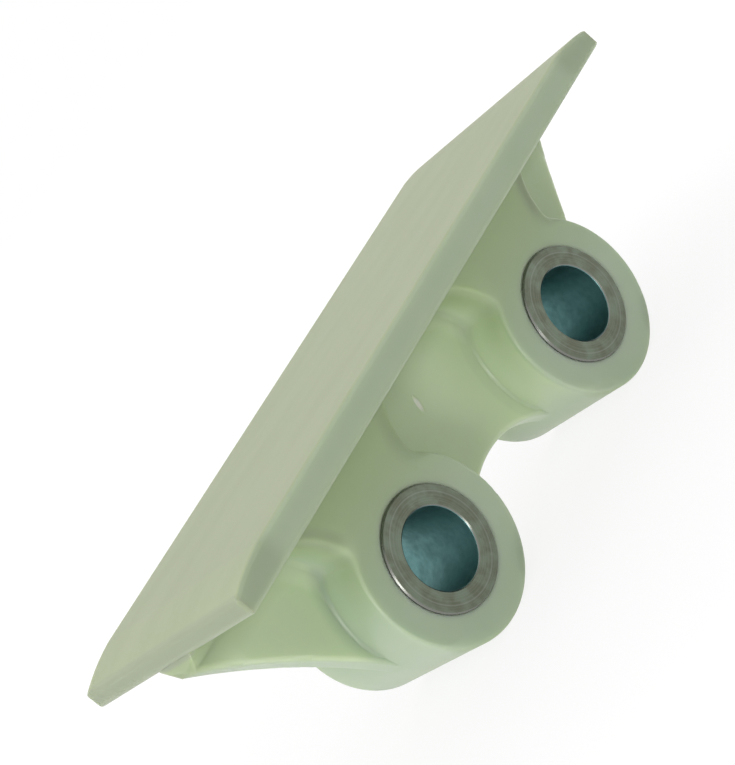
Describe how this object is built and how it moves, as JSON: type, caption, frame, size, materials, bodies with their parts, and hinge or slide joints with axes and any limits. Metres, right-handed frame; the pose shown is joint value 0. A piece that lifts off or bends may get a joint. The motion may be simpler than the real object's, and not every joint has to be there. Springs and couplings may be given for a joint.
{
  "type": "timing chain guide",
  "caption": "Flat nylon slipper rail with curved lead-ins on a thin web and flared bolt bosses lined with steel bushes; it steadies the straight run of an engine's timing chain.",
  "frame": {"origin": "midway between the two bolt axes, on the rail's mid-plane", "axes": "+X along the rail, +Y along the bolts, +Z out through the running face, which lies uppermost when the part rests on its bosses"},
  "size_m": [0.0808, 0.0308, 0.0271],
  "materials": {
    "nylon": "natural translucent nylon, satin as moulded",
    "steel": "turned end faces, zinc-plated bore"
  },
  "bodies": {
    "root": {"guide_rail": "nylon", "left_bush": "steel", "right_bush": "steel"}
  },
  "joints": []
}
